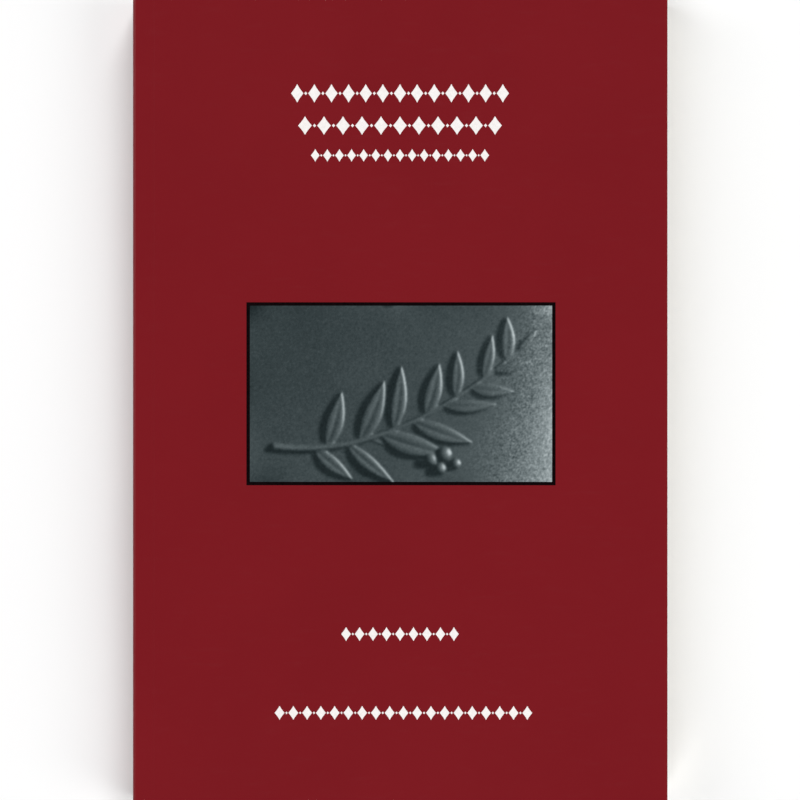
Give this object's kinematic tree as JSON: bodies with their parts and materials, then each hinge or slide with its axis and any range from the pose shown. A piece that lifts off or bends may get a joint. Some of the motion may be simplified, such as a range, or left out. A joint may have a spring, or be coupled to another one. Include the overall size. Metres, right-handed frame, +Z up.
{
  "type": "paperback book",
  "caption": "Closed paperback book with a plain card cover, a framed picture panel in front and leaves glued to the spine; its front cover and its middle open.",
  "frame": {"origin": "middle of the book's outline, at the level of the table that the back cover lies on", "axes": "+Z up, out of the front cover; +Y from the tail to the head of the book; +X from the spine to the fore-edge"},
  "size_m": [0.156, 0.234, 0.0189],
  "materials": {
    "cover_card": "dark red print under a satin laminate, white card at the cut edges",
    "leaf_paper": "uncoated cream paper",
    "spine_glue": "cream hot-melt glue",
    "white_print": "white print under a satin laminate",
    "black_print": "black print under a satin laminate",
    "picture_print": "grey-green single-tone picture print under a satin laminate"
  },
  "bodies": {
    "rear_half": {"cover_back": "cover_card", "leaves_rear": "leaf_paper", "glue_rear": "spine_glue"},
    "front_half": {"cover_spine": "cover_card", "leaves_front": "leaf_paper", "glue_front": "spine_glue"},
    "front_cover": {"cover_front": "cover_card"}
  },
  "joints": [
    {"name": "middle_hinge", "type": "hinge", "parent": "rear_half", "child": "front_half", "pos_m": [-0.07815, 0, 0.009], "axis": [0, -1, 0], "range_deg": [0, 179.5]},
    {"name": "front_cover_hinge", "type": "hinge", "parent": "front_half", "child": "front_cover", "pos_m": [-0.072, 0, 0.01815], "axis": [0, -1, 0], "range_deg": [0, 175]}
  ]
}
